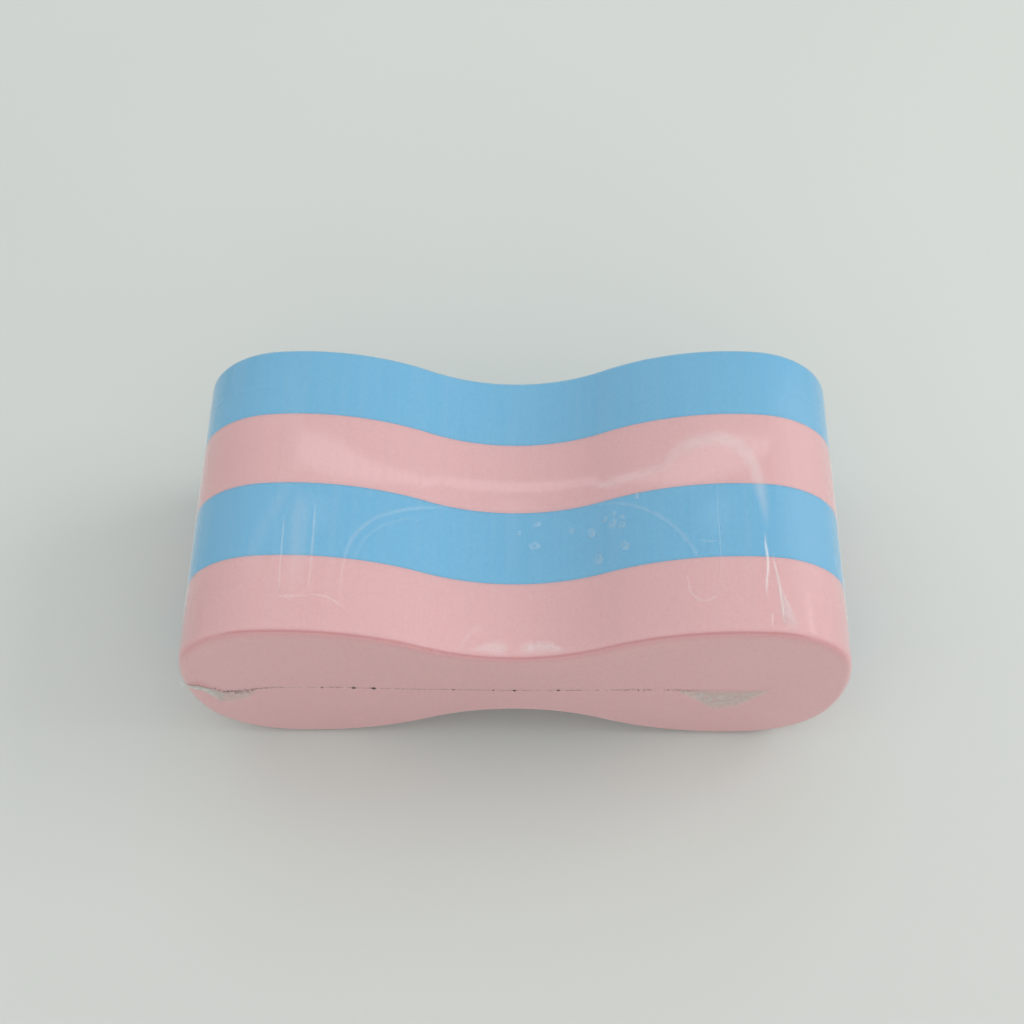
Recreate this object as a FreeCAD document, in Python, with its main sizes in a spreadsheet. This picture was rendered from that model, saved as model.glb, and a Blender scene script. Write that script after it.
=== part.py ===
import FreeCAD, Part

import math
import os

import Sketcher

# Pull buoy: four sheets of closed-cell EVA foam glued face to face, cut to a figure-eight outline and
# sealed in clear shrink film.
#
# Frame, in millimetres: X runs along the figure eight from lobe to lobe, Y is the direction in which
# the sheets are stacked (the front end face looks along -Y), and Z is up with the buoy lying on its two
# lobes. The origin is on the ground under the middle of the waist.

# ---------------------------------------------------------------------------------------------------
# Driving dimensions: alias, value in mm, meaning
# ---------------------------------------------------------------------------------------------------
DIMENSIONS = [
    ("overall_length", 250.0, "foam, end of one lobe to end of the other"),
    ("lobe_height", 96.0, "foam, tallest section of a lobe"),
    ("waist_height", 50.0, "foam, thinnest section, gripped between the thighs"),
    ("lobe_spacing", 164.0, "between the two crests"),
    ("nose_radius", 84.0, "flattened end of a lobe"),
    ("corner_radius", 35.0, "between the nose and the crest"),
    ("crown_radius", 94.0, "crest of a lobe"),
    ("layer_thickness", 30.0, "one foam sheet"),
    ("edge_radius", 3.0, "rounded rim of the two end faces"),
    ("glue_thickness", 0.15, "dried contact adhesive between two sheets"),
    ("glue_setback", 0.5, "adhesive stops this far inside the foam's edge"),
    ("film_gap", 0.05, "air under the film"),
    ("film_thickness", 0.2, "film wall, thicker than real film so that it makes a sound solid"),
    ("vent_diameter", 1.2, "pinholes that let the air out while the film shrinks"),
]

LAYERS = ["foam_layer_1_pink", "foam_layer_2_blue", "foam_layer_3_pink", "foam_layer_4_blue"]
GLUE_LINES = ["glue_line_1", "glue_line_2", "glue_line_3"]

# Pinholes in the front face: X and the height over the foam's centre line. They follow the seam, which
# sags a little towards the middle.
VENTS = [(-60.5, -2.0), (-53.0, -2.4), (0.0, -3.9), (16.5, -3.5)]

TOLERANCE = 1e-4

doc = FreeCAD.newDocument("pull_buoy")

sheet = doc.addObject("Spreadsheet::Sheet", "Dimensions")
for row, (alias, value, meaning) in enumerate(DIMENSIONS, start=1):
    sheet.set(f"A{row}", alias)
    sheet.set(f"B{row}", str(value))
    sheet.set(f"C{row}", meaning)
    sheet.setAlias(f"B{row}", alias)
doc.recompute()


def size(alias):
    return float(getattr(sheet, alias))


def cell(alias):
    return f"Dimensions.{alias}"


# Distance of a surface outside (+) or inside (-) the foam's outline, as an expression and as a number.
FOAM = ("0", 0.0)
GLUE = (f"-{cell('glue_setback')}", -size("glue_setback"))
FILM_INSIDE = (cell("film_gap"), size("film_gap"))
FILM_OUTSIDE = (
    f"({cell('film_gap')} + {cell('film_thickness')})",
    size("film_gap") + size("film_thickness"),
)

# Half the height of the wrapped buoy: the foam's centre line stands this high above the ground.
CENTRE_HEIGHT = f"{cell('lobe_height')} / 2 + {FILM_OUTSIDE[0]}"


# ---------------------------------------------------------------------------------------------------
# Outline: one quarter of the figure eight, four tangent arcs closed by the two axes
# ---------------------------------------------------------------------------------------------------
def angle_towards(start, end):
    return math.atan2(end.y - start.y, end.x - start.x)


def outline_arcs(offset):
    """Nose, corner, crown and waist arcs as (centre, radius, start angle, end angle), in turn."""
    nose_radius = size("nose_radius") + offset
    corner_radius = size("corner_radius") + offset
    crown_radius = size("crown_radius") + offset
    half_waist = size("waist_height") / 2 + offset
    nose = FreeCAD.Vector(size("overall_length") / 2 - size("nose_radius"), 0, 0)
    crown = FreeCAD.Vector(size("lobe_spacing") / 2, size("lobe_height") / 2 - size("crown_radius"), 0)

    # The corner arc touches the nose and the crown from inside, so its centre is where two circles cross.
    from_nose = nose_radius - corner_radius
    from_crown = crown_radius - corner_radius
    apart = nose.distanceToPoint(crown)
    along = (from_nose**2 - from_crown**2 + apart**2) / (2 * apart)
    aside = math.sqrt(from_nose**2 - along**2)
    direction = (crown - nose) / apart
    corner = nose + direction * along + FreeCAD.Vector(-direction.y, direction.x, 0) * aside

    # The waist arc is centred over the middle and touches the crown from outside.
    rise = half_waist - crown.y
    waist_radius = (crown.x**2 + rise**2 - crown_radius**2) / (2 * (crown_radius - rise))
    waist = FreeCAD.Vector(0, half_waist + waist_radius, 0)

    nose_end = angle_towards(nose, corner)
    corner_end = angle_towards(crown, corner)
    crown_end = angle_towards(crown, waist)
    return [
        (nose, nose_radius, 0.0, nose_end),
        (corner, corner_radius, nose_end, corner_end),
        (crown, crown_radius, corner_end, crown_end),
        (waist, waist_radius, -math.pi / 2, crown_end - math.pi),
    ]


def origin_plane(body, role):
    return next(feature for feature in body.Origin.OriginFeatures if feature.Role == role)


def quarter_outline(body, name, offset):
    """Sketch of the quarter outline on the body's XZ plane, driven by the sheet."""
    offset_text, offset_value = offset
    sketch = body.newObject("Sketcher::SketchObject", name)
    sketch.AttachmentSupport = [(origin_plane(body, "XZ_Plane"), "")]
    sketch.MapMode = "FlatFace"

    normal = FreeCAD.Vector(0, 0, 1)
    arcs = []
    for centre, radius, start, end in outline_arcs(offset_value):
        circle = Part.Circle(centre, normal, radius)
        arcs.append(sketch.addGeometry(Part.ArcOfCircle(circle, start, end), False))
    nose, corner, crown, waist = arcs

    middle = FreeCAD.Vector(0, 0, 0)
    nose_tip = sketch.Geometry[nose].StartPoint
    waist_top = sketch.Geometry[waist].StartPoint
    along_x = sketch.addGeometry(Part.LineSegment(middle, nose_tip), False)
    along_z = sketch.addGeometry(Part.LineSegment(waist_top, middle), False)

    start, end, centre = 1, 2, 3
    origin, x_axis, y_axis = (-1, 1), -1, -2
    for item in (
        ("Coincident", along_x, start, *origin),
        ("Coincident", along_z, end, *origin),
        ("Horizontal", along_x),
        ("Vertical", along_z),
        ("Coincident", along_x, end, nose, start),
        ("Coincident", along_z, start, waist, start),
        ("Tangent", nose, end, corner, start),
        ("Tangent", corner, end, crown, start),
        ("Tangent", crown, end, waist, end),
        ("PointOnObject", nose, centre, x_axis),
        ("PointOnObject", waist, centre, y_axis),
    ):
        sketch.addConstraint(Sketcher.Constraint(*item))

    def drive(label, item, expression):
        index = sketch.addConstraint(Sketcher.Constraint(*item))
        sketch.renameConstraint(index, label)
        sketch.setExpression(f"Constraints.{label}", expression)

    geometry = sketch.Geometry
    crown_centre = geometry[crown].Center
    drive("half_length", ("DistanceX", *origin, nose, start, nose_tip.x),
          f"{cell('overall_length')} / 2 + {offset_text}")
    drive("half_waist", ("DistanceY", *origin, waist, start, waist_top.y),
          f"{cell('waist_height')} / 2 + {offset_text}")
    drive("crest_x", ("DistanceX", *origin, crown, centre, crown_centre.x),
          f"{cell('lobe_spacing')} / 2")
    drive("crown_drop", ("DistanceY", crown, centre, *origin, -crown_centre.y),
          f"{cell('crown_radius')} - {cell('lobe_height')} / 2")
    drive("nose_r", ("Radius", nose, geometry[nose].Radius),
          f"{cell('nose_radius')} + {offset_text}")
    drive("corner_r", ("Radius", corner, geometry[corner].Radius),
          f"{cell('corner_radius')} + {offset_text}")
    drive("crown_r", ("Radius", crown, geometry[crown].Radius),
          f"{cell('crown_radius')} + {offset_text}")
    return sketch


# ---------------------------------------------------------------------------------------------------
# Figure-eight prism: a quarter padded both ways from its plane, then mirrored up and across
# ---------------------------------------------------------------------------------------------------
def figure_eight(name, offset, depth_text):
    body = doc.addObject("PartDesign::Body", name)
    body.Label = name
    sketch = quarter_outline(body, f"{name}_outline", offset)
    pad = body.newObject("PartDesign::Pad", f"{name}_quarter")
    pad.Profile = sketch
    pad.SideType = "Symmetric"
    pad.setExpression("Length", depth_text)
    sketch.Visibility = False
    doc.recompute()
    for plane in ("XY_Plane", "YZ_Plane"):
        mirror = body.newObject("PartDesign::Mirrored", f"{name}_mirror_{plane[:2]}")
        mirror.TransformMode = "Whole shape"
        mirror.MirrorPlane = (origin_plane(body, plane), [""])
        mirror.Refine = True
        body.Tip = mirror
        doc.recompute()
    return body


def rim_edges(shape, y):
    """Names of the edges that lie in the plane at this Y."""
    return [
        f"Edge{number}"
        for number, edge in enumerate(shape.Edges, start=1)
        if all(abs(vertex.Y - y) < TOLERANCE for vertex in edge.Vertexes)
    ]


def round_rims(body, faces_y, radius_text):
    """Rounds the rims of the end faces at these Y positions, measured from the body's own plane."""
    base = body.Tip
    edges = [name for y in faces_y for name in rim_edges(base.Shape, y)]
    fillet = body.newObject("PartDesign::Fillet", f"{body.Name}_rim")
    fillet.Base = (base, edges)
    fillet.setExpression("Radius", radius_text)
    body.Tip = fillet
    doc.recompute()


def stand(item, y_text):
    """Puts an item at its place in the stack, its centre line at the foam's centre height."""
    item.setExpression("Placement.Base.y", y_text)
    item.setExpression("Placement.Base.z", CENTRE_HEIGHT)


# ---------------------------------------------------------------------------------------------------
# Foam sheets, front to back; the outer two have the rounded rims
# ---------------------------------------------------------------------------------------------------
def foam_layer(index, name):
    body = figure_eight(name, FOAM, cell("layer_thickness"))
    half = size("layer_thickness") / 2
    if index == 0:
        round_rims(body, [-half], cell("edge_radius"))
    if index == len(LAYERS) - 1:
        round_rims(body, [half], cell("edge_radius"))
    steps = index - (len(LAYERS) - 1) / 2
    stand(body, f"{steps} * ({cell('layer_thickness')} + {cell('glue_thickness')})")
    return body


# ---------------------------------------------------------------------------------------------------
# Adhesive between the sheets
# ---------------------------------------------------------------------------------------------------
def glue_line(index, name):
    body = figure_eight(name, GLUE, cell("glue_thickness"))
    steps = index - (len(GLUE_LINES) - 1) / 2
    stand(body, f"{steps} * ({cell('layer_thickness')} + {cell('glue_thickness')})")
    return body


# ---------------------------------------------------------------------------------------------------
# Shrink film: the wrapped outside less the foam's space, with pinholes along the front seam
# ---------------------------------------------------------------------------------------------------
def film_volume(name, offset):
    offset_text, offset_value = offset
    count = len(LAYERS)
    stack_text = f"{count} * {cell('layer_thickness')} + {count - 1} * {cell('glue_thickness')}"
    stack = count * size("layer_thickness") + (count - 1) * size("glue_thickness")
    body = figure_eight(name, offset, f"{stack_text} + 2 * {offset_text}")
    half = stack / 2 + offset_value
    round_rims(body, [-half, half], f"{cell('edge_radius')} + {offset_text}")
    return body, half


def shrink_film():
    outside, half_depth = film_volume("film_outside", FILM_OUTSIDE)
    inside, _ = film_volume("film_inside", FILM_INSIDE)
    wall = doc.addObject("Part::Cut", "film_wall")
    wall.Base = outside
    wall.Tool = inside

    # Each pinhole goes through the front wall only: it starts ahead of it and ends in the air gap.
    pins = []
    for number, (x, rise) in enumerate(VENTS, start=1):
        pin = doc.addObject("Part::Cylinder", f"vent_{number}")
        pin.setExpression("Radius", f"{cell('vent_diameter')} / 2")
        pin.setExpression("Height", f"4 * {cell('film_thickness')}")
        start = FreeCAD.Vector(x, -half_depth - 2 * size("film_thickness"), rise)
        pin.Placement = FreeCAD.Placement(start, FreeCAD.Rotation(FreeCAD.Vector(1, 0, 0), -90))
        pins.append(pin)
    vents = doc.addObject("Part::MultiFuse", "vents")
    vents.Shapes = pins

    film = doc.addObject("Part::Cut", "shrink_film")
    film.Label = "shrink_film"
    film.Base = wall
    film.Tool = vents
    stand(film, "0")
    return film


# ---------------------------------------------------------------------------------------------------
# Build, check, write
# ---------------------------------------------------------------------------------------------------
subparts = [foam_layer(index, name) for index, name in enumerate(LAYERS)]
subparts += [glue_line(index, name) for index, name in enumerate(GLUE_LINES)]
subparts.append(shrink_film())
doc.recompute()

failed = [item.Name for item in doc.Objects if {"Invalid", "Error"} & set(item.State)]
if failed:
    raise RuntimeError(f"features that failed: {failed}")
loose = [item.Name for item in doc.findObjects("Sketcher::SketchObject") if not item.FullyConstrained]
if loose:
    raise RuntimeError(f"sketches that are not fully constrained: {loose}")
for part in subparts:
    if part.Shape.isNull() or not part.Shape.isValid() or len(part.Shape.Solids) != 1:
        raise RuntimeError(f"{part.Label} is not one valid solid")

os.makedirs("parts", exist_ok=True)
for part in subparts:
    part.Shape.exportStep(os.path.join("parts", f"{part.Label}.step"))
    box = part.Shape.optimalBoundingBox()
    print(
        f"{part.Label}: {part.Shape.Volume / 1000:.2f} cm3,"
        f" x {box.XMin:.2f}..{box.XMax:.2f}, y {box.YMin:.2f}..{box.YMax:.2f},"
        f" z {box.ZMin:.2f}..{box.ZMax:.2f}"
    )
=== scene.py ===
import math
import random

import bmesh
import bpy
import numpy as np
from mathutils import Matrix, Vector, noise


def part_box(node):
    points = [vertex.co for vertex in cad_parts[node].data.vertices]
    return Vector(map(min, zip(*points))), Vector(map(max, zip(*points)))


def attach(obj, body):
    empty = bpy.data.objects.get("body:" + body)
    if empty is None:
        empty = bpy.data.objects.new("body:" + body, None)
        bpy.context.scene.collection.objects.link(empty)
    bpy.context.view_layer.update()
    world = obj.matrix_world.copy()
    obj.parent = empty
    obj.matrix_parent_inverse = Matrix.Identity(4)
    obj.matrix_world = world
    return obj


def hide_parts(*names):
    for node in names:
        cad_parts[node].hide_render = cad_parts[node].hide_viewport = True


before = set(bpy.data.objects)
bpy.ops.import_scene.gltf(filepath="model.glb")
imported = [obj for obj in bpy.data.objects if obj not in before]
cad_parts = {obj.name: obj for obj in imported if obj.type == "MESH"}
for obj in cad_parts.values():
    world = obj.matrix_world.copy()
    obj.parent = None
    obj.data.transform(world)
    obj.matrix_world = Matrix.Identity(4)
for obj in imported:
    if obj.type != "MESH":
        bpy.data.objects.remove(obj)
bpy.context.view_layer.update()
random.seed(7)

# ---------------------------------------------------------------------------------------------------
# Sizes, in metres. The outline repeats the CAD model's driving dimensions; places come from the frame.
# ---------------------------------------------------------------------------------------------------
MM = 0.001
LAYERS = ["foam_layer_1_pink", "foam_layer_2_blue", "foam_layer_3_pink", "foam_layer_4_blue"]
GLUE_LINES = ["glue_line_1", "glue_line_2", "glue_line_3"]

foam_low, foam_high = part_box(LAYERS[0])
film_low, film_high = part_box("shrink_film")
foam_length = foam_high[0] - foam_low[0]
foam_height = foam_high[2] - foam_low[2]
centre_z = (foam_low[2] + foam_high[2]) / 2
film_offset = film_high[0] - foam_high[0]

waist_height = 50 * MM
lobe_spacing = 164 * MM
nose_radius = 84 * MM
corner_radius = 35 * MM
crown_radius = 94 * MM
rim_radius = 3 * MM


# ---------------------------------------------------------------------------------------------------
# Outline of the figure eight: four tangent arcs a quarter
# ---------------------------------------------------------------------------------------------------
def quarter_arcs():
    """(centre, radius, start angle, end angle) of the nose, corner, crown and waist arcs.

    The waist arc bulges inwards, so its radius is negative: its normal then points out of the foam.
    """
    nose = Vector((foam_length / 2 - nose_radius, 0))
    crown = Vector((lobe_spacing / 2, foam_height / 2 - crown_radius))
    from_nose = nose_radius - corner_radius
    from_crown = crown_radius - corner_radius
    apart = (crown - nose).length
    along = (from_nose**2 - from_crown**2 + apart**2) / (2 * apart)
    aside = math.sqrt(from_nose**2 - along**2)
    direction = (crown - nose) / apart
    corner = nose + direction * along + Vector((-direction.y, direction.x)) * aside
    rise = waist_height / 2 - crown.y
    waist_radius = (crown.x**2 + rise**2 - crown_radius**2) / (2 * (crown_radius - rise))
    waist = Vector((0, waist_height / 2 + waist_radius))

    def towards(start, end):
        return math.atan2(end.y - start.y, end.x - start.x)

    nose_end = towards(nose, corner)
    corner_end = towards(crown, corner)
    crown_end = towards(crown, waist)
    return [
        (nose, nose_radius, 0.0, nose_end),
        (corner, corner_radius, nose_end, corner_end),
        (crown, crown_radius, corner_end, crown_end),
        (waist, -waist_radius, crown_end, math.pi / 2),
    ]


def upper_outline(step):
    """Points and outward normals over the top, from the right nose's tip to the left one's."""
    points = []
    for centre, radius, start, end in quarter_arcs():
        count = max(2, round(abs(radius * (end - start)) / step))
        for k in range(count):
            angle = start + (end - start) * k / count
            normal = (math.cos(angle), math.sin(angle))
            points.append((centre.x + radius * normal[0], centre.y + radius * normal[1], *normal))
    points.append((0.0, waist_height / 2, 0.0, 1.0))
    right = np.array(points)
    left = right[-2::-1] * [-1, 1, -1, 1]
    return np.vstack([right, left])


def bump(distance):
    """A smooth bump: 1 at the middle, 0 from a distance of 1 on."""
    return np.clip(1 - distance**2, 0, None) ** 2


def gentle(share):
    """A smooth step from 0 to 1."""
    share = np.clip(share, 0, 1)
    return share * share * (3 - 2 * share)


def waviness(points, scale, seed):
    """Smooth noise between about -1 and 1 at each point."""
    return np.array([noise.noise(Vector(p) * scale + Vector((seed, seed, seed))) for p in points])


class Prism:
    """A closed figure-eight slab between two Y planes, with rounded rims, built as rings of vertices.

    top is an upper_outline; each ring is (y, inset), the inset measured in from the outline. swell gives
    how far each point moves out along the outline's normal.
    """

    def __init__(self, top, offset, rings, cap_rows, swell):
        self.cap_rows = cap_rows
        self.columns = len(top)
        lower = top[-2:0:-1] * [1, -1, 1, -1]
        self.loop = np.vstack([top, lower])
        self.vertices = []
        self.faces = []
        count = len(self.loop)
        for y, inset in rings:
            reach = offset - inset
            x = self.loop[:, 0] + self.loop[:, 2] * reach
            z = self.loop[:, 1] + self.loop[:, 3] * reach
            ring = np.column_stack([x, np.full(count, y), z])
            move = swell(ring)
            ring[:, 0] += self.loop[:, 2] * move
            ring[:, 2] += self.loop[:, 3] * move
            self.vertices.append(ring)
        for ring in range(len(rings) - 1):
            for i in range(count):
                j = (i + 1) % count
                a, b = ring * count, (ring + 1) * count
                self.faces.append((a + i, a + j, b + j, b + i))
        self.wall_count = count * len(rings)
        self.total = self.wall_count
        self.add_cap(0)
        self.add_cap(len(rings) - 1)
        self.vertices = np.vstack(self.vertices)

    def add_cap(self, ring):
        """Columns of quads between the upper and the lower half of a ring."""
        count = len(self.loop)
        base = ring * count
        edge = self.vertices[ring]
        rows = self.cap_rows
        grid = []
        for i in range(self.columns):
            low = (count - i) % count
            column = [base + i]
            if i not in (0, self.columns - 1):
                for share in rows:
                    self.vertices.append((edge[i] * (1 - share) + edge[low] * share)[None, :])
                    column.append(self.total)
                    self.total += 1
            column.append(base + low)
            grid.append(column)
        last = len(rows) + 1
        for i in range(self.columns - 1):
            left, right = grid[i], grid[i + 1]
            for k in range(last):
                if i == 0:
                    self.faces.append((left[0], right[k], right[k + 1]))
                elif i == self.columns - 2:
                    self.faces.append((left[k + 1], left[k], right[0]))
                else:
                    self.faces.append((left[k], right[k], right[k + 1], left[k + 1]))


def mesh_piece(name, vertices, faces, material):
    """A new mesh object in the scene, with its material."""
    mesh = bpy.data.meshes.new(name)
    mesh.from_pydata([tuple(v) for v in vertices], [], faces)
    mesh.validate()
    mesh.update()
    piece = bpy.data.objects.new(name, mesh)
    bpy.context.scene.collection.objects.link(piece)
    if material:
        mesh.materials.append(material)
    return piece


def note(piece, name, values):
    """Keeps one number a vertex on a mesh, for its material to read."""
    data = piece.data.attributes.new(name, "FLOAT", "POINT").data
    data.foreach_set("value", np.array(values, dtype=np.float32))


def orient(piece):
    """Turns every face of a closed mesh outwards and shades it smooth."""
    shape = bmesh.new()
    shape.from_mesh(piece.data)
    bmesh.ops.recalc_face_normals(shape, faces=shape.faces)
    for face in shape.faces:
        face.smooth = True
    shape.to_mesh(piece.data)
    shape.free()


def sheet_faces(columns, rows):
    """Quads of a grid of points that is stored column by column."""
    faces = []
    for i in range(columns - 1):
        for k in range(rows - 1):
            a = i * rows + k
            faces.append((a, a + rows, a + rows + 1, a + 1))
    return faces


def stack_faces(base, levels, sides):
    """Quads round a stack of rings whose points start at base, closed by a face at each end."""
    faces = []
    for level in range(levels - 1):
        for k in range(sides):
            j = (k + 1) % sides
            a, b = base + level * sides, base + (level + 1) * sides
            faces.append((a + k, a + j, b + j, b + k))
    faces.append(tuple(base + (levels - 1) * sides + k for k in range(sides)))
    faces.append(tuple(base + k for k in reversed(range(sides))))
    return faces


def rim_rings(y, radius, direction, segments):
    """Rings round a quarter-circle rim, from the end face at y towards the wall. direction is +1 or -1."""
    rings = []
    for k in range(segments + 1):
        angle = k / segments * math.pi / 2
        rings.append((y + direction * radius * (1 - math.cos(angle)), radius * (1 - math.sin(angle))))
    return rings


def wall_rings(start, end, step):
    """Rings along a straight wall, between its two ends."""
    count = max(2, round((end - start) / step))
    return [(start + (end - start) * k / count, 0.0) for k in range(1, count)]


def even(count):
    """Shares that divide a length evenly, its two ends left out."""
    return [k / (count + 1) for k in range(1, count + 1)]


# ---------------------------------------------------------------------------------------------------
# Materials
# ---------------------------------------------------------------------------------------------------
def linear(red, green, blue):
    """An sRGB colour, 0 to 255, as the linear RGBA that a shader takes."""
    def channel(value):
        value /= 255
        return value / 12.92 if value <= 0.04045 else ((value + 0.055) / 1.055) ** 2.4
    return (channel(red), channel(green), channel(blue), 1.0)


class Nodes:
    """A small helper that makes a material's nodes and links them in one line each."""

    def __init__(self, name):
        self.material = bpy.data.materials.new(name)
        self.material.use_nodes = True
        self.tree = self.material.node_tree
        self.tree.nodes.clear()
        self.output = self.add("ShaderNodeOutputMaterial")
        self.place = self.add("ShaderNodeTexCoord").outputs["Object"]

    def add(self, kind, settings=None, **inputs):
        node = self.tree.nodes.new(kind)
        for key, value in (settings or {}).items():
            setattr(node, key, value)
        for key, value in inputs.items():
            self.feed(node, key.replace("_", " "), value)
        return node

    def feed(self, node, key, value):
        socket = node.inputs[int(key)] if key.isdigit() else node.inputs[key]
        if isinstance(value, bpy.types.NodeSocket):
            self.tree.links.new(value, socket)
        else:
            socket.default_value = value

    def scaled(self, x, y, z):
        return self.add("ShaderNodeMapping", Vector=self.place, Scale=(x, y, z)).outputs[0]

    def noise(self, vector, scale, detail=2.0, roughness=0.5):
        settings = {"Vector": vector, "Scale": scale, "Detail": detail, "Roughness": roughness}
        return self.add("ShaderNodeTexNoise", **settings).outputs[0]

    def ramp(self, value, low, high, out_low=0.0, out_high=1.0):
        node = self.add("ShaderNodeMapRange", {"interpolation_type": "SMOOTHSTEP"})
        for key, item in (("Value", value), ("From Min", low), ("From Max", high),
                          ("To Min", out_low), ("To Max", out_high)):
            self.feed(node, key, item)
        return node.outputs[0]

    def math(self, operation, first, second):
        node = self.add("ShaderNodeMath", {"operation": operation})
        self.feed(node, "0", first)
        self.feed(node, "1", second)
        return node.outputs[0]

    def mix(self, share, first, second, blend="MIX"):
        node = self.add("ShaderNodeMix", {"data_type": "RGBA", "blend_type": blend})
        self.feed(node, "0", share)
        self.feed(node, "6", first)
        self.feed(node, "7", second)
        return node.outputs[2]

    def attribute(self, name):
        return self.add("ShaderNodeAttribute", {"attribute_name": name}).outputs["Fac"]

    def bump(self, height, distance, strength=1.0, normal=None):
        node = self.add("ShaderNodeBump", Height=height, Distance=distance, Strength=strength)
        if normal is not None:
            self.feed(node, "Normal", normal)
        return node.outputs[0]

    def show(self, shader):
        self.tree.links.new(shader, self.output.inputs["Surface"])
        return self.material


def foam_material(name, base, deep, pale, painted_shade):
    """Closed-cell EVA foam: an even colour with a fine cell structure, faint mottling and cut marks.

    Painted shade deepens the colour along the top of the front rim and on the front face just over the left
    ear.
    """
    n = Nodes(name)
    cloud = n.noise(n.place, 22.0, 3.0)
    colour = n.mix(n.ramp(cloud, 0.3, 0.7, 0.0, 0.35), base, pale)
    grain = n.noise(n.place, 900.0, 3.0, 0.6)
    colour = n.mix(n.ramp(grain, 0.35, 0.75, 0.0, 0.38), colour, deep)
    cells = n.add("ShaderNodeTexVoronoi", Vector=n.place, Scale=1500.0).outputs["Distance"]
    colour = n.mix(n.ramp(cells, 0.0, 0.35, 0.26, 0.0), colour, deep)
    streaks = n.noise(n.scaled(260.0, 9.0, 260.0), 1.0, 2.0)
    colour = n.mix(n.ramp(streaks, 0.55, 0.8, 0.0, 0.12), colour, deep)
    # Painted shade: a deeper colour where the mesh says, along the front rim and just over the left ear
    colour = n.mix(n.math("MULTIPLY", n.attribute("painted_shade"), 0.42), colour, painted_shade)
    fine = n.math("ADD", n.math("MULTIPLY", cells, 0.6), grain)
    normal = n.bump(fine, 0.00006, 0.5)
    normal = n.bump(streaks, 0.00008, 0.4, normal)
    rough = n.ramp(grain, 0.2, 0.8, 0.52, 0.68)
    shader = n.add("ShaderNodeBsdfPrincipled", Base_Color=colour, Roughness=rough, Normal=normal)
    shader.inputs["Specular IOR Level"].default_value = 0.25
    return n.show(shader.outputs[0])


def glue_material():
    """Dried contact adhesive: amber, slightly tacky and uneven."""
    n = Nodes("dried_adhesive")
    brushed = n.noise(n.scaled(60.0, 60.0, 400.0), 1.0, 3.0)
    colour = n.mix(n.ramp(brushed, 0.3, 0.7), linear(176, 138, 118), linear(140, 104, 92))
    normal = n.bump(brushed, 0.0001, 0.5)
    shader = n.add("ShaderNodeBsdfPrincipled", Base_Color=colour, Normal=normal,
                   Roughness=n.ramp(brushed, 0.2, 0.8, 0.35, 0.6))
    return n.show(shader.outputs[0])


# What the film mirrors when looked at squarely: both of its faces together
FILM_MIRROR = 0.075


def film_material():
    """Clear shrink film: see-through, mirror-like at its surface, with faint pull lines and haze.

    Round the two ends, where it shrinks hardest, the film is finely rippled and mirrors less sharply.
    """
    n = Nodes("clear_shrink_film")
    pull = n.noise(n.scaled(420.0, 6.0, 420.0), 1.0, 2.0)
    ripple = n.noise(n.scaled(90.0, 35.0, 90.0), 1.0, 2.0)
    dust = n.noise(n.place, 1600.0, 1.0)
    ends = n.attribute("shrunk")
    normal = n.bump(ripple, 0.00001, 0.4)
    normal = n.bump(pull, 0.0000025, 0.4, normal)
    rough = n.math("ADD", n.ramp(pull, 0.3, 0.8, 0.02, 0.06), n.math("MULTIPLY", ends, 0.35))
    clear = n.add("ShaderNodeBsdfTransparent", Color=(0.985, 0.99, 0.99, 1.0))
    shine = n.add("ShaderNodeBsdfAnisotropic", Color=(1.0, 1.0, 1.0, 1.0), Roughness=rough, Normal=normal)
    haze = n.add("ShaderNodeBsdfDiffuse", Color=linear(236, 240, 240))
    cloudy = n.math("ADD", n.math("MULTIPLY", pull, 0.7), n.math("MULTIPLY", dust, 0.3))
    body = n.add("ShaderNodeMixShader")
    n.feed(body, "0", n.ramp(cloudy, 0.35, 0.75, 0.012, 0.05))
    n.feed(body, "1", clear.outputs[0])
    n.feed(body, "2", haze.outputs[0])
    turned = n.add("ShaderNodeLayerWeight", Blend=0.5).outputs["Facing"]
    mirrored = n.math("MULTIPLY", n.math("POWER", turned, 5.0), 1 - FILM_MIRROR)
    whole = n.add("ShaderNodeMixShader")
    n.feed(whole, "0", n.math("ADD", mirrored, FILM_MIRROR))
    n.feed(whole, "1", body.outputs[0])
    n.feed(whole, "2", shine.outputs[0])
    return n.show(whole.outputs[0])


def milky_and_shine_material():
    """Film that a fold or a hard pull has turned white, and painted highlights and reflections, as much as
    its mesh says.
    """
    n = Nodes("milky_film_and_painted_shine")
    threads = n.noise(n.scaled(420.0, 120.0, 420.0), 1.0, 2.0, 0.5)
    colour = n.mix(n.ramp(threads, 0.3, 0.7), linear(242, 240, 239), linear(250, 249, 249))
    clear = n.add("ShaderNodeBsdfTransparent")
    rough = n.ramp(threads, 0.2, 0.8, 0.5, 0.62)
    solid = n.add("ShaderNodeBsdfPrincipled", Base_Color=colour, Roughness=rough)
    solid.inputs["Specular IOR Level"].default_value = 0.2
    whole = n.add("ShaderNodeMixShader")
    n.feed(whole, "0", n.math("MULTIPLY", n.attribute("milk_and_painted_shine"), n.ramp(threads, 0.25, 0.7, 0.85, 1.1)))
    n.feed(whole, "1", clear.outputs[0])
    n.feed(whole, "2", solid.outputs[0])
    return n.show(whole.outputs[0])


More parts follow.
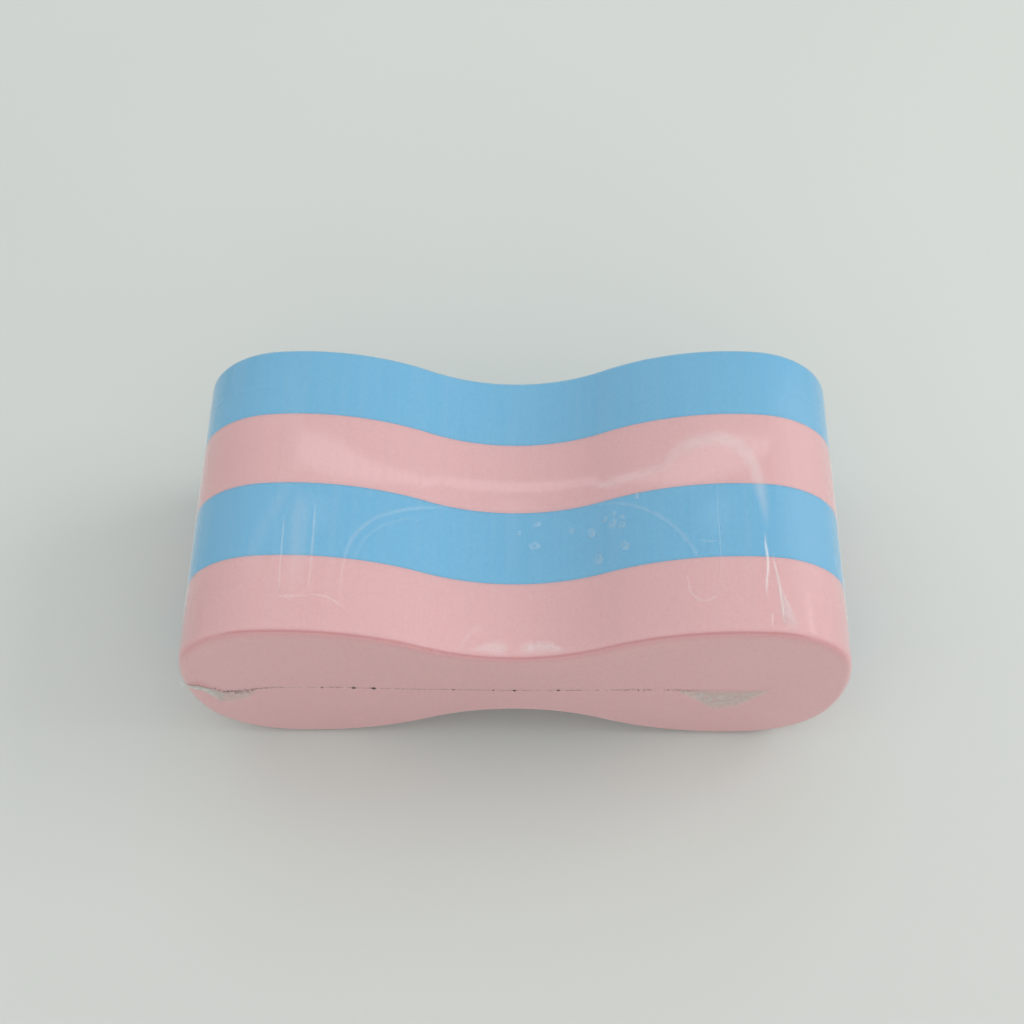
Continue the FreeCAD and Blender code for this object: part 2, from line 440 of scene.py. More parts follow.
def scorch_and_seam_shade_material():
    """Film fused by the sealing wire: a greyish brown tint, deepest where a mesh says it is burnt; along
    the seam bead the tint is partly painted shade of the bead.
    """
    n = Nodes("scorched_film_and_seam_shade")
    patches = n.noise(n.place, 700.0, 3.0)
    burnt = n.attribute("burnt")
    colour = n.mix(n.ramp(patches, 0.35, 0.65), linear(146, 118, 108), linear(168, 138, 126))
    colour = n.mix(n.math("MAXIMUM", burnt, 0.0), colour, linear(42, 26, 26))
    clear = n.add("ShaderNodeBsdfTransparent")
    rough = n.ramp(patches, 0.3, 0.7, 0.3, 0.5)
    solid = n.add("ShaderNodeBsdfPrincipled", Base_Color=colour, Roughness=rough)
    cover = n.math("ADD", n.ramp(patches, 0.35, 0.6, 0.05, 0.34), n.math("MULTIPLY", burnt, 0.6))
    whole = n.add("ShaderNodeMixShader")
    n.feed(whole, "0", n.math("MAXIMUM", n.math("MINIMUM", cover, 1.0), 0.0))
    n.feed(whole, "1", clear.outputs[0])
    n.feed(whole, "2", solid.outputs[0])
    return n.show(whole.outputs[0])


def frosted_material():
    """Film bunched into an ear: frosted grey, finely creased, as thick as its mesh says."""
    n = Nodes("frosted_film")
    haze = n.noise(n.place, 260.0, 4.0, 0.6)
    crease = n.noise(n.scaled(300.0, 300.0, 900.0), 1.0, 3.0, 0.6)
    colour = n.mix(n.ramp(haze, 0.3, 0.7), linear(196, 208, 198), linear(210, 217, 208))
    colour = n.mix(n.ramp(crease, 0.6, 0.75, 0.0, 0.2), colour, linear(176, 180, 174))
    normal = n.bump(haze, 0.0001, 0.3)
    clear = n.add("ShaderNodeBsdfTransparent")
    solid = n.add("ShaderNodeBsdfPrincipled", Base_Color=colour, Normal=normal,
                  Roughness=n.ramp(haze, 0.2, 0.8, 0.35, 0.6))
    whole = n.add("ShaderNodeMixShader")
    n.feed(whole, "0", n.math("MULTIPLY", n.attribute("frost"), n.ramp(haze, 0.25, 0.65, 0.75, 1.1)))
    n.feed(whole, "1", clear.outputs[0])
    n.feed(whole, "2", solid.outputs[0])
    return n.show(whole.outputs[0])


# ---------------------------------------------------------------------------------------------------
# Foam sheets
# ---------------------------------------------------------------------------------------------------
FOAM_STEP = 1.6 * MM
# The soft lip of a cut edge: how far in it starts, and how far it reaches over the glue line
LIP_DEPTH = 0.45 * MM
LIP_REACH = 0.065 * MM
# Rows of quads down an end face, and segments of its rounded rim
FOAM_ROWS = even(23)
FOAM_RIM = 7


def shared_wave(points):
    """Slight unevenness of the cut block, mostly inwards, which the film follows."""
    return (waviness(points, 14.0, 3.1) * 0.035 + waviness(points, 45.0, 8.7) * 0.010 - 0.12) * MM


def cut_lip(y, direction):
    """Rings of a cut edge whose soft lip swells over the glue line, which stops short of the surface."""
    return [(y, LIP_DEPTH), (y - direction * LIP_REACH, 0.04 * MM), (y - direction * LIP_REACH * 0.6, 0.0)]


def foam_layer(index, name, material):
    """One foam sheet, with painted shade along the top of its front rim and on its front face just over the
    left ear.
    """
    low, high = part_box(name)
    is_front, is_back = index == 0, index == len(LAYERS) - 1
    front = rim_rings(low[1], rim_radius, 1, FOAM_RIM) if is_front else cut_lip(low[1], 1)
    back = rim_rings(high[1], rim_radius, -1, FOAM_RIM) if is_back else cut_lip(high[1], -1)
    rings = front + wall_rings(front[-1][0], back[-1][0], FOAM_STEP) + back[::-1]
    prism = Prism(upper_outline(FOAM_STEP), 0.0, rings, FOAM_ROWS, shared_wave)
    vertices = prism.vertices
    vertices[:, 2] += centre_z
    piece = mesh_piece(f"{name}_sheet", vertices, prism.faces, material)
    from_front = (vertices[:, 1] - foam_low[1]) / MM
    upper = np.zeros(len(vertices))
    upper[: prism.wall_count] = np.tile(gentle(prism.loop[:, 3] / 0.5), len(rings))
    seam_height = np.interp(vertices[:, 0] / MM, *np.array(SEAM).T)
    over_seam = (vertices[:, 2] - centre_z) / MM - seam_height
    # Painted shade along the top of the front rim, and a painted shadow on the front face just over the
    # left ear's edge
    painted_shadow_above_ear = bump((vertices[:, 0] / MM + 118) / 9) * bump((over_seam - 1.2) / 3.2) * (from_front < 0.01)
    note(piece, "painted_shade", bump((from_front - 0.6) / 1.0) * upper + painted_shadow_above_ear)
    orient(piece)
    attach(piece, "root")
    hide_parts(name)
    return piece


# ---------------------------------------------------------------------------------------------------
# Shrink film
# ---------------------------------------------------------------------------------------------------
FILM_STEP = 1.3 * MM
FILM_ROWS = even(40)
FILM_RIM = 9
# The film's tent over the waist: its height, the place of its top behind the middle, and its reaches
TENT_HEIGHT = 1.9 * MM
TENT_TOP = 8.5 * MM
TENT_FRONT = 62 * MM
TENT_BACK = 50 * MM
TENT_SIDE = 41 * MM


def film_lift(x, y):
    """How far the stretched film stands off the foam across the waist, smoothly down to nothing."""
    reach = np.where(y < TENT_TOP, TENT_FRONT, TENT_BACK)
    return TENT_HEIGHT * bump((y - TENT_TOP) / reach) * bump(x / TENT_SIDE) ** 1.5


def film_swell(points):
    return shared_wave(points) + film_lift(points[:, 0], points[:, 1])


def film_skin(material):
    """The film as one thin closed skin, marked where it shrank hardest round the two ends."""
    front, back = film_low[1], film_high[1]
    radius = rim_radius + film_offset
    rings = rim_rings(front, radius, 1, FILM_RIM)
    rings += wall_rings(front + radius, back - radius, FILM_STEP)
    rings += rim_rings(back, radius, -1, FILM_RIM)[::-1]
    prism = Prism(upper_outline(FILM_STEP), film_offset, rings, FILM_ROWS, film_swell)
    vertices = prism.vertices
    vertices[:, 2] += centre_z
    piece = mesh_piece("shrink_film_skin", vertices, prism.faces, material)
    left_end = gentle((-77 * MM - vertices[:, 0]) / (16 * MM))
    right_end = gentle((vertices[:, 0] - 92 * MM) / (14 * MM))
    from_rims = np.minimum(vertices[:, 1] - front, back - vertices[:, 1])
    note(piece, "shrunk", np.maximum(left_end, right_end) * gentle(from_rims / (22 * MM) - 0.2))
    orient(piece)
    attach(piece, "root")
    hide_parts("shrink_film")
    return piece


# ---------------------------------------------------------------------------------------------------
# Seam, pinholes, corner ears and bubbles of the film
# ---------------------------------------------------------------------------------------------------
FRONT = film_low[1]

# Where the film was sealed across the front: (x, height over the centre line), left to right, in mm
SEAM = [(-124.0, 0.4), (-118.0, 0.2), (-110.2, -5.7), (-104.1, -5.7), (-97.6, -3.5), (-90.0, -1.9),
        (-69.2, -1.5), (-42.8, -2.8), (-5.2, -3.8), (17.1, -3.5), (39.5, -2.8), (61.9, -2.5), (94.0, -2.1),
        (97.6, -0.9)]
# Pinholes along the seam: (x, height over the centre line, radius) in mm
PINHOLES = [(-60.5, -2.0, 0.45), (-53.0, -2.4, 0.5), (0.0, -3.9, 0.36), (16.5, -3.5, 0.32)]
# Smaller burnt specks along it: (x, height over the centre line) in mm, all of one radius
SPECK_RADIUS = 0.22
SPECKS = [(-72.4, -1.7), (-23.0, -3.2), (-7.9, -3.6)]


def along(path, count):
    """Points spread evenly by index along a path of tuples, by linear interpolation."""
    path = np.array(path, dtype=float)
    at = np.linspace(0, len(path) - 1, count)
    return np.column_stack([np.interp(at, range(len(path)), path[:, k]) for k in range(path.shape[1])])


def even_along(path, spacing):
    """Points an even distance apart along a path of (x, z) tuples."""
    path = np.array(path, dtype=float)
    run = np.concatenate([[0], np.cumsum(np.hypot(*np.diff(path, axis=0).T))])
    at = np.linspace(0, run[-1], max(2, round(run[-1] / spacing)))
    return np.column_stack([np.interp(at, run, path[:, 0]), np.interp(at, run, path[:, 1])])


def film_detail(name, vertices, faces, material):
    """A small piece of the film that has no CAD node of its own."""
    piece = mesh_piece(name, vertices, faces, material)
    orient(piece)
    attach(piece, "root")
    return piece


def seam_bead(material):
    """A thin, uneven fused bead: a half-round strip along the seam, its ends tapered away."""
    line = even_along(SEAM, 0.6)
    sides = 6
    vertices, faces = [], []
    for i, (x, z) in enumerate(line):
        taper = min(1.0, i / 6, (len(line) - 1 - i) / 6)
        wobble = noise.noise(Vector((x * 0.9, 0, 4.0)))
        crumple = 1.0 + 0.9 * bump((x + 93) / 8) + 0.9 * bump((x - 51) / 12)
        width = (0.17 + 0.07 * wobble) * (0.1 + 0.9 * taper) * crumple
        drift = 0.12 * noise.noise(Vector((x * 0.5, 2.0, 9.0))) * crumple
        for k in range(sides + 1):
            angle = math.pi * k / sides
            out = 0.35 * width * math.sin(angle) - 0.02
            height = z + drift - width * math.cos(angle)
            vertices.append((x * MM, FRONT - out * MM, centre_z + height * MM))
    ring = sides + 1
    for i in range(len(line) - 1):
        for k in range(ring):
            j = (k + 1) % ring
            a, b = i * ring, (i + 1) * ring
            faces.append((a + k, b + k, b + j, a + j))
    faces.append(tuple(range(ring)))
    faces.append(tuple(range(len(vertices) - ring, len(vertices))))
    # The bead's brown tint is partly scorch and dirt, partly painted shade of the bead
    piece = film_detail("film_seam", vertices, faces, material)
    at = np.array(vertices)[:, 0] / MM
    away = -0.45 * gentle((at - 58) / 8) - 0.4 * gentle((-106 - at) / 7)
    patchy = np.array([noise.noise(Vector((x * 0.8, 5.0, 1.0))) for x in at])
    broken = -0.24 * gentle((at - 24) / 8) - 0.12 * gentle((-20 - at) / 30) * (1 + patchy)
    note(piece, "burnt", away + broken)
    return piece


# Clusters of scorched crumbs: (x, its spread, how many, how far off the seam, its spread, how burnt), mm
CRUMBS = [(-106.0, 4.0, 100, -0.8, 0.8, 0.3), (-97.0, 3.0, 24, 0.0, 0.3, 0.4),
          (49.0, 12.0, 130, -0.2, 0.5, -0.02), (0.0, 70.0, 40, -0.1, 0.4, 0.3),
          (64.0, 4.0, 30, -0.4, 0.5, 0.0)]


def crumbs(material):
    """Little scorched curls of film beside the seam, thickest by the two ears."""
    vertices, faces, scorch = [], [], []
    xs, zs = np.array(SEAM).T
    sides = 6
    # Each crumb's foot and top: (height, reach) as shares of its size
    levels = ((0.0, 1.0), (0.6, 0.6))
    for centre, spread, count, drop, scatter, darkest in CRUMBS:
        for _ in range(count):
            x = random.gauss(centre, spread)
            z = np.interp(x, xs, zs) + random.gauss(drop, scatter)
            size = random.uniform(0.10, 0.28)
            turn = random.uniform(0, math.pi)
            dark = random.uniform(darkest - 0.4, darkest)
            if not -116 < x < 74:
                continue
            base = len(vertices)
            for level, reach in levels:
                for k in range(sides):
                    angle = turn + 2 * math.pi * k / sides
                    r = size * reach * random.uniform(0.7, 1.2)
                    vertices.append(((x + 1.5 * r * math.cos(angle)) * MM,
                                     FRONT + (0.04 - level * size) * MM,
                                     centre_z + (z + r * math.sin(angle)) * MM))
            faces += stack_faces(base, len(levels), sides)
            scorch += [dark] * (len(levels) * sides)
    piece = film_detail("film_seam_crumbs", vertices, faces, material)
    note(piece, "burnt", scorch)
    return piece


def pinholes(material):
    """Melted rims round the pinholes: each a small crater that falls to a dark floor."""
    # From the outside in: (how far out, in radii, how high in mm). The last two rings are the burnt floor.
    profile = [(1.9, -0.03), (1.6, 0.10), (1.25, 0.16), (1.0, 0.10), (0.86, 0.02)]
    floor = 3
    vertices, faces = [], []
    spots = [(x, z, r) for x, z, r in PINHOLES] + [(x, z, SPECK_RADIUS) for x, z in SPECKS]
    sides = 20
    for x, z, radius in spots:
        base = len(vertices)
        for reach, out in profile:
            for k in range(sides):
                angle = 2 * math.pi * k / sides
                r = radius * reach * (1 + 0.10 * math.sin(3 * angle + x))
                vertices.append(((x + r * math.cos(angle)) * MM, FRONT - out * MM,
                                 centre_z + (z + r * math.sin(angle)) * MM))
        faces += stack_faces(base, len(profile), sides)
    piece = film_detail("film_pinholes", vertices, faces, material)
    level_of = [(i // sides) % len(profile) for i in range(len(vertices))]
    note(piece, "burnt", [1.0 if level >= floor else 0.35 for level in level_of])
    return piece


def flap(name, upper, lower, frost, crumple, seed, material):
    """A crumpled sheet of film between two edges, each a path of (x, z, distance off the front)."""
    columns, rows = 60, 18
    top, bottom = along(upper, columns), along(lower, columns)
    vertices, frosting = [], []
    for i in range(columns):
        for k in range(rows):
            share = k / (rows - 1)
            x, z, out = top[i] * (1 - share) + bottom[i] * share
            edge = min(1.0, 4 * share, 4 * (1 - share), i / 4, (columns - 1 - i) / 14)
            fold = 1 - 2 * abs(noise.noise(Vector((x * 0.42 + z * 0.2, z * 0.5, seed))))
            fine = noise.noise(Vector((x * 1.6, z * 1.6, seed + 5)))
            out += crumple * (0.35 + 0.65 * edge) * (0.8 * fold + 0.35 * fine)
            x += 0.5 * crumple * noise.noise(Vector((x * 0.8, z * 0.8, seed + 9)))
            z += 0.9 * crumple * noise.noise(Vector((x * 1.1, z * 1.1, seed + 13)))
            vertices.append((x * MM, FRONT - max(out, 0.04) * MM, centre_z + z * MM))
            frosting.append(frost * (0.25 + 0.75 * edge) * (0.85 + 0.3 * fine))
    piece = film_detail(name, vertices, sheet_faces(columns, rows), material)
    note(piece, "frost", frosting)
    return piece


FINE_OUTLINE = upper_outline(0.4 * MM)[::-1]


def film_point(x, y):
    """The point of the film's top over (x, y), as film_skin makes it, and the outline's normal there."""
    height, across, upward = (np.interp(x, FINE_OUTLINE[:, 0], FINE_OUTLINE[:, k]) for k in (1, 2, 3))
    normal = np.array([across, 0, upward])
    spot = np.array([x, y, height]) + normal * film_offset
    radius = rim_radius + film_offset
    into_rim = max(0.0, radius - (y - FRONT))
    drop = radius - math.sqrt(max(radius**2 - into_rim**2, 0))
    reach = film_swell(spot[None, :])[0] - drop
    spot = spot + normal * reach
    spot[2] += centre_z
    return spot, normal


# Folds and pulls that have turned the film white, and painted highlights and reflections drawn the same
# way: how white, how far the film stands up there in mm, and a path of (x, y, half width) in mm
MILKY_MARKS_AND_PAINTED_SHINE = [
    (0.18, 0.05, [(-83.3, -12.5, 0.5), (-83.1, -30.4, 0.7), (-82.7, -46.8, 0.7)]),
    (0.20, 0.05, [(-72.6, -6.2, 0.5), (-72.2, -25.3, 0.7), (-72.3, -45.7, 0.7)]),
    # Painted reflection: the pale pane between the two lines
    (0.10, 0.0, [(-78.0, -2.0, 4.0), (-77.7, -30.0, 5.2), (-77.6, -45.5, 5.2)]),
    # Painted highlight: a soft pale streak down the left slope
    (0.05, 0.0, [(-82.0, 0.0, 2.0), (-86.0, -8.0, 3.8), (-90.5, -17.0, 4.2), (-93.0, -26.0, 3.8),
                 (-94.0, -40.0, 2.6)]),
    (0.17, 0.06, [(-84.2, -47.0, 0.8), (-80.6, -46.6, 1.1), (-77.8, -47.0, 1.1), (-72.3, -45.8, 0.9)]),
    (0.17, 0.06, [(-72.3, -45.6, 0.6), (-65.3, -46.0, 0.8), (-62.5, -48.0, 0.9), (-59.5, -50.4, 0.8)]),
    (0.11, 0.05, [(-61.0, -49.0, 0.7), (-61.4, -38.0, 1.0), (-60.8, -29.0, 1.1), (-58.4, -20.6, 1.2),
                  (-51.8, -12.4, 1.2), (-43.0, -7.2, 1.2), (-33.5, -3.0, 1.1), (-22.0, 0.4, 0.7)]),
    (0.05, 0.03, [(-57.6, -36.0, 0.6), (-56.6, -26.0, 0.9), (-52.4, -18.2, 1.0), (-44.0, -11.6, 1.0),
                  (-33.5, -7.6, 0.8)]),
    (0.10, 0.04, [(28.2, 0.5, 0.6), (39.1, -2.8, 1.0), (48.0, -7.2, 1.1), (55.0, -13.1, 1.1),
                  (60.1, -18.4, 1.1), (64.0, -25.0, 1.1), (66.6, -31.3, 0.9), (69.2, -37.5, 0.5)]),
    # Painted reflection of the overhead lamp: its band across the waist and round the right lobe
    (0.11, 0.02, [(28.0, 6.5, 1.2), (38.0, 7.0, 2.4), (47.0, 7.5, 3.0), (56.0, 9.5, 3.0)]),
    (0.24, 0.02, [(53.5, 6.0, 2.5), (56.5, 11.0, 3.8), (61.0, 15.4, 4.4), (66.0, 18.0, 4.8),
                  (71.0, 19.2, 4.8), (77.0, 19.4, 4.8), (83.0, 17.0, 4.6), (87.4, 9.3, 4.2),
                  (89.4, 0.4, 3.5), (90.6, -7.1, 2.7), (91.3, -18.0, 1.5)]),
    # Painted highlights: bright streaks down the front of the right lobe
    (0.50, 0.05, [(90.5, -20.0, 0.4), (89.9, -24.5, 0.7), (90.7, -29.9, 0.8), (90.3, -36.4, 0.8),
                  (89.1, -41.9, 0.7), (89.6, -46.5, 0.5)]),
    (0.42, 0.05, [(92.2, -28.0, 0.4), (93.3, -35.8, 0.7), (94.1, -41.8, 0.9), (94.4, -48.8, 1.1),
                  (95.0, -57.8, 1.3)]),
    (0.24, 0.0, [(94.9, -43.0, 0.5), (96.4, -50.0, 1.8), (98.6, -58.6, 3.6)]),
    (0.36, 0.03, [(90.9, -51.7, 0.3), (90.5, -55.0, 0.45), (90.1, -58.2, 0.3)]),
    # Painted sheen: paler film towards the right end
    (0.035, 0.0, [(107.0, 57.0, 14.0), (107.0, 0.0, 15.0), (107.0, -57.0, 15.0)]),
    (0.10, 0.04, [(74.5, 5.0, 0.3), (73.7, -11.3, 0.45), (74.2, -21.7, 0.5), (73.5, -41.9, 0.5),
                  (74.3, -45.0, 0.4)]),
    (0.10, 0.03, [(66.5, -23.3, 0.5), (70.0, -24.0, 1.0), (73.2, -23.8, 0.6)]),
    (0.15, 0.04, [(61.8, -35.5, 0.5), (62.8, -44.5, 0.9), (66.3, -48.0, 1.0), (71.0, -46.8, 0.9),
                  (74.0, -44.0, 0.6)]),
    # Painted reflections: two pale crescents at the front of the waist
    (0.27, 0.0, [(-15.6, -57.8, 0.5), (-11.6, -56.6, 2.2), (-7.0, -56.0, 3.4), (-3.8, -55.9, 3.7),
                 (-1.0, -56.1, 3.2)]),
    (0.30, 0.0, [(1.2, -56.7, 2.0), (5.6, -56.0, 3.2), (10.6, -55.8, 3.4), (15.0, -56.7, 2.6),
                 (19.4, -58.4, 0.7)]),
    (0.07, 0.02, [(-19.6, -58.0, 0.8), (-17.8, -54.5, 1.4), (-14.7, -49.8, 1.6), (-9.7, -47.7, 1.0)]),
]


def milky_marks_and_painted_shine(material):
    """Thin ribbons that ride on the film's top, faded out towards their sides and ends."""
    vertices, faces, milk_and_shine = [], [], []
    across = 9
    for strength, ridge, path in MILKY_MARKS_AND_PAINTED_SHINE:
        path = np.array(path, dtype=float)
        run = np.concatenate([[0], np.cumsum(np.hypot(*np.diff(path[:, :2], axis=0).T))])
        count = max(8, round(run[-1] / 0.7))
        at = np.linspace(0, run[-1], count)
        line = np.column_stack([np.interp(at, run, path[:, k]) for k in range(3)])
        blur = max(1, count // (2 * len(path)))
        for _ in range(2):
            padded = np.pad(line, ((blur, blur), (0, 0)), mode="reflect", reflect_type="odd")
            kernel = np.ones(2 * blur + 1) / (2 * blur + 1)
            line = np.column_stack([np.convolve(padded[:, k], kernel, "valid") for k in range(3)])
        ahead = np.gradient(line[:, :2], axis=0)
        side = np.column_stack([-ahead[:, 1], ahead[:, 0]]) / np.hypot(*ahead.T)[:, None]
        base = len(vertices)
        for i in range(count):
            fade = min(1.0, 5 * i / count, 5 * (count - 1 - i) / count)
            for k in range(across):
                u = 2 * k / (across - 1) - 1
                x, y = line[i, :2] + side[i] * u * line[i, 2]
                spot, normal = film_point(x * MM, max(y * MM, FRONT + 0.2 * MM))
                vertices.append(spot + normal * (0.035 + ridge * (1 - u * u) ** 2 * fade) * MM)
                milk_and_shine.append(strength * (1 - u * u) ** 2 * fade)
        for i in range(count - 1):
            for k in range(across - 1):
                a = base + i * across + k
                faces.append((a, a + 1, a + across + 1, a + across))
    piece = film_detail("film_milky_marks_and_painted_shine", vertices, faces, material)
    note(piece, "milk_and_painted_shine", milk_and_shine)
    # Milky film passes on the light it scatters, so it darkens nothing under it
    piece.visible_shadow = False
    return piece


# (x, y, radius) in mm
BUBBLES = [(1.6, -9.5, 1.1), (8.4, -5.9, 1.6), (7.6, -15.0, 2.2), (21.4, -9.8, 1.6), (28.8, -12.4, 2.1),
           (33.6, -8.0, 1.5), (36.4, -10.6, 2.0), (36.8, -6.6, 1.2), (39.6, -12.2, 1.9), (39.8, -8.8, 1.3),
           (40.6, -20.8, 2.2), (31.2, -23.9, 2.4), (45.3, -1.4, 1.5)]


def bubbles(material):
    """Small blisters of the film on the slope of the right lobe, with a faint white haze and rims painted
    paler on one side as a painted highlight.
    """
    vertices, faces, milk_and_shine = [], [], []
    sides, levels = 24, 9
    for number, (x, y, radius) in enumerate(BUBBLES):
        place, normal = film_point(x * MM, y * MM)
        across = np.array([normal[2], 0, -normal[0]])
        base = len(vertices)
        for level in range(levels):
            reach = 1 - level / levels
            for k in range(sides):
                angle = 2 * math.pi * k / sides
                uneven = 1 + 0.16 * math.sin(2 * angle + number) + 0.07 * math.sin(3 * angle + 2 * number)
                r = radius * reach * uneven
                height = 0.24 * radius * (1 - reach**2) ** 1.5 - 0.02
                point = place + (across * r * math.cos(angle) + normal * height) * MM
                vertices.append((point[0], point[1] + r * math.sin(angle) * MM, point[2]))
                around = Vector((3 * math.cos(angle), 3 * math.sin(angle), 5 * reach + number))
                patchy = 0.5 + 0.5 * noise.noise(around)
                # Painted highlight: the rim is paler on one side, as where light falls on it
                painted_lit_side = 0.7 + 0.3 * math.sin(angle + 2.4)
                milk_and_shine.append(0.05 * (1 - reach**4) + 0.22 * bump((reach - 0.62) / 0.38) * patchy * painted_lit_side)
        faces += stack_faces(base, levels, sides)
    piece = film_detail("film_bubbles", vertices, faces, material)
    note(piece, "milk_and_painted_shine", milk_and_shine)
    piece.visible_shadow = False
    return piece


# The ears' upper and lower edges: (x, height over the centre line, how far it stands off the front) in mm
EAR_LEFT = ([(-125.6, 7.6, 0.05), (-125.4, 3.9, 0.1), (-124.0, 0.8, 0.15), (-118.9, 0.2, 0.2),
             (-114.3, -3.0, 0.2), (-110.6, -6.3, 0.15)],
            [(-125.7, 7.0, 0.05), (-125.3, 0.6, 0.1), (-122.0, -3.2, 0.1), (-117.7, -6.0, 0.1),
             (-114.6, -12.0, 0.1), (-112.6, -16.5, 0.1)])
EAR_LEFT_FOLD = ([(-113.0, -5.0, 0.15), (-107.4, -5.9, 0.2), (-104.1, -5.4, 0.2), (-98.5, -4.2, 0.1)],
                 [(-113.8, -17.2, 0.1), (-107.7, -15.4, 0.1), (-101.3, -11.4, 0.1), (-97.6, -6.2, 0.05)])
EAR_RIGHT = ([(60.3, -2.6, 0.1), (70.0, -2.6, 0.1), (82.0, -2.5, 0.1), (92.0, -2.3, 0.1),
              (96.6, -1.0, 0.15)],
             [(63.1, -5.3, 0.05), (69.0, -12.1, 0.1), (76.1, -22.4, 0.1), (84.5, -19.1, 0.1),
              (89.4, -11.9, 0.1), (94.6, -5.8, 0.1)])


# ---------------------------------------------------------------------------------------------------
# Build
# ---------------------------------------------------------------------------------------------------
PINK = linear(221, 170, 172)
PINK_DEEP = linear(210, 154, 158)
PINK_PALE = linear(225, 176, 178)
BLUE = linear(96, 175, 214)
BLUE_DEEP = linear(76, 160, 205)
BLUE_PALE = linear(106, 181, 218)
# Painted shade colours for the front rim and for the spot just over the left ear
PINK_PAINTED_SHADE = linear(202, 118, 124)
BLUE_PAINTED_SHADE = linear(60, 140, 190)

pink = foam_material("pink_foam", PINK, PINK_DEEP, PINK_PALE, PINK_PAINTED_SHADE)
blue = foam_material("blue_foam", BLUE, BLUE_DEEP, BLUE_PALE, BLUE_PAINTED_SHADE)
for index, name in enumerate(LAYERS):
    foam_layer(index, name, pink if name.endswith("pink") else blue)

glue = glue_material()
for name in GLUE_LINES:
    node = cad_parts[name]
    node.data.materials.clear()
    node.data.materials.append(glue)

clear = film_material()
film_skin(clear)
milk_and_painted_shine = milky_and_shine_material()
milky_marks_and_painted_shine(milk_and_painted_shine)
bubbles(milk_and_painted_shine)
scorched_and_seam_shade = scorch_and_seam_shade_material()
seam_bead(scorched_and_seam_shade)
crumbs(scorched_and_seam_shade)
pinholes(scorched_and_seam_shade)
frosted = frosted_material()
flap("film_ear_left", *EAR_LEFT, frost=0.78, crumple=0.16, seed=1.0, material=frosted)
flap("film_ear_left_fold", *EAR_LEFT_FOLD, frost=0.36, crumple=0.12, seed=21.0, material=frosted)
flap("film_ear_right", *EAR_RIGHT, frost=0.46, crumple=0.10, seed=42.0, material=frosted)


# ---------------------------------------------------------------------------------------------------
# Stage: a sheet of pale paper
# ---------------------------------------------------------------------------------------------------
def paper_material():
    """Matt pale paper, faintly clouded."""
    n = Nodes("pale_paper")
    cloud = n.noise(n.place, 1.6, 3.0)
    colour = n.mix(n.ramp(cloud, 0.3, 0.7), linear(208, 211, 207), linear(204, 207, 203))
    fibre = n.noise(n.place, 700.0, 2.0)
    normal = n.bump(fibre, 0.0001, 0.15)
    shader = n.add("ShaderNodeBsdfPrincipled", Base_Color=colour, Roughness=0.85, Normal=normal)
    return n.show(shader.outputs[0])


bpy.ops.mesh.primitive_plane_add(size=6.0, location=(0, 0, 0))
paper = bpy.context.object
paper.name = "paper"
paper.data.materials.append(paper_material())


# ---------------------------------------------------------------------------------------------------
# Light
# ---------------------------------------------------------------------------------------------------
def area_light(name, place, aim, width, height, power):
    """A soft white lamp at place, turned to aim, that reflections don't see."""
    data = bpy.data.lights.new(name, "AREA")
    data.shape = "RECTANGLE"
    data.size = width
    data.size_y = height
    data.energy = power
    light = bpy.data.objects.new(name, data)
    light.location = place
    light.rotation_euler = (Vector(aim) - Vector(place)).to_track_quat("-Z", "Y").to_euler()
    light.visible_glossy = False
    bpy.context.scene.collection.objects.link(light)


# The room's own radiance, and how high over the buoy's centre line the studio cards hang
ROOM = 0.875
ROOM_COLOUR = (0.985, 1.0, 0.99, 1.0)
CARD_HEIGHT = centre_z + 1.45

world = bpy.data.worlds.new("room")
bpy.context.scene.world = world
world.use_nodes = True
world.node_tree.nodes["Background"].inputs[0].default_value = ROOM_COLOUR
world.node_tree.nodes["Background"].inputs[1].default_value = ROOM

area_light("window_right", place=(2.1, 0.4, 1.45), aim=(0, 0, 0.05), width=1.6, height=1.2, power=20)
area_light("front_fill", place=(0.5, -2.0, 0.75), aim=(0, 0, 0.03), width=2.2, height=1.0, power=4.5)


def card(name, low, high, added, soft=True):
    """A studio card overhead that only reflections see, between two edges of (x, y) points.

    It glows with the room's own radiance and what it adds, which a soft card fades out to all its edges.
    """
    rows, columns = 9, len(low)
    points, share = [], []
    for i in range(columns):
        for k in range(rows):
            u = k / (rows - 1)
            points.append((*(np.array(low[i]) * (1 - u) + np.array(high[i]) * u), CARD_HEIGHT))
            inward = min(1, 4 * u, 4 * (1 - u), 8 * i / columns, 8 * (columns - 1 - i) / columns)
            share.append(inward if soft else 1)
    shine = Nodes(f"{name}_glow")
    radiance = shine.math("ADD", shine.math("MULTIPLY", shine.attribute("share"), added), ROOM)
    glow = shine.add("ShaderNodeEmission", Strength=radiance)
    piece = mesh_piece(name, points, sheet_faces(columns, rows), shine.show(glow.outputs[0]))
    note(piece, "share", share)
    for kind in ("camera", "diffuse", "transmission", "volume_scatter", "shadow"):
        setattr(piece, f"visible_{kind}", False)
    return piece


# A long lamp shade, thin towards its ends and bent away from the front to both sides
across = np.linspace(-3.2, 3.2, 61)
bend = np.sqrt(1 + across**2) - 1
lamp_front = 0.82 + 0.505 * bend
lamp_back = lamp_front + 0.034 + 0.052 * np.exp(-((across / 0.6) ** 2))
card("card_lamp", list(zip(across, lamp_front)), list(zip(across, lamp_back)), 0.75)
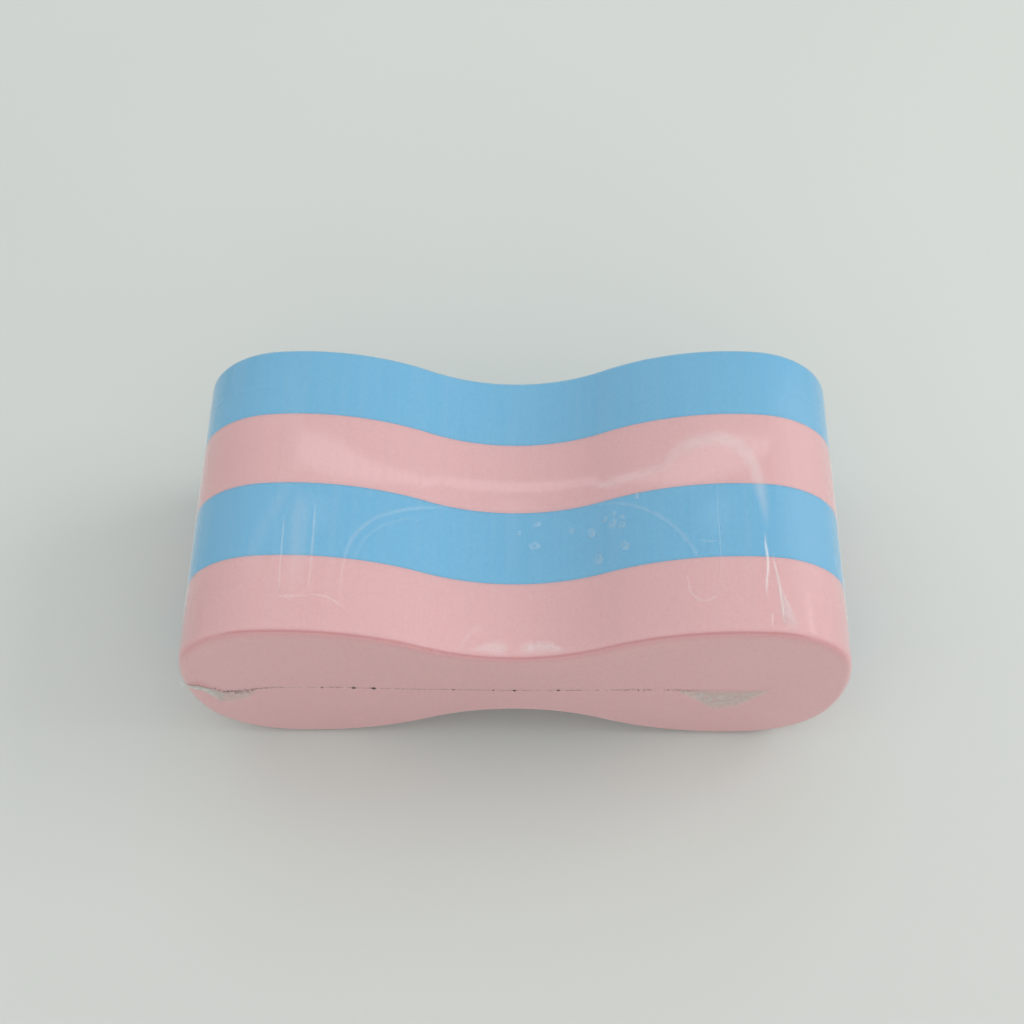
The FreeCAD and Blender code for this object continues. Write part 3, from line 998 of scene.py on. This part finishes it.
# The darker wall beyond it
card("card_wall", list(zip(across, 1.14 + 0.42 * bend)), [(x, 2.8) for x in across], -0.12)
# The window's pale glow, which the rippled film at the right end mirrors
card("card_window", [(2.1, -0.6), (3.2, -0.6), (4.6, -0.6)], [(2.1, 2.2), (3.2, 2.6), (4.6, 3.0)], 0.78)
# The dark room in front, which the film mirrors along its front rim
bulk = card("card_dark_front", [(-0.9, -0.35), (0.9, -0.35)], [(-0.9, 0.30), (0.9, 0.30)], -0.85, False)
bulk.matrix_world = (Matrix.Translation((0, -1.0, centre_z + 0.40)) @ Matrix.Rotation(math.pi / 2, 4, "X")
                     @ Matrix.Translation((0, 0, -CARD_HEIGHT)))
# A small lamp that the film mirrors in the hollow of the waist
spot_low = [(-0.33, 0.76), (0.0, 0.73), (0.27, 0.75)]
spot_high = [(-0.33, 0.815), (0.0, 0.80), (0.27, 0.81)]
card("card_spot", spot_low, spot_high, 0.3)


# ---------------------------------------------------------------------------------------------------
# Camera
# ---------------------------------------------------------------------------------------------------
# It looks down at the buoy, turned and rolled a little, and its aim is shifted in its own picture plane
view_down = math.radians(60.615)
view_turn = math.radians(-2.464)
view_roll = math.radians(-2.013)
view_distance = 600.8 * MM
view_right = 1.6 * MM
view_up = -12.7 * MM
focal_length = 53.61
sensor_width = 36.0

level_right = Vector((math.cos(view_turn), -math.sin(view_turn), 0))
forward = Vector((math.sin(view_turn) * math.cos(view_down), math.cos(view_turn) * math.cos(view_down),
                  -math.sin(view_down)))
level_up = level_right.cross(forward)
right = level_right * math.cos(view_roll) + level_up * math.sin(view_roll)
up = level_up * math.cos(view_roll) - level_right * math.sin(view_roll)
place = Vector((0, 0, centre_z)) - right * view_right - up * view_up - forward * view_distance

camera_data = bpy.data.cameras.new("camera")
camera_data.lens = focal_length
camera_data.sensor_width = sensor_width
camera = bpy.data.objects.new("camera", camera_data)
turn = Matrix((right, up, -forward)).transposed().to_4x4()
camera.matrix_world = Matrix.Translation(place) @ turn
bpy.context.scene.collection.objects.link(camera)
bpy.context.scene.camera = camera
bpy.context.scene.view_settings.view_transform = "Standard"
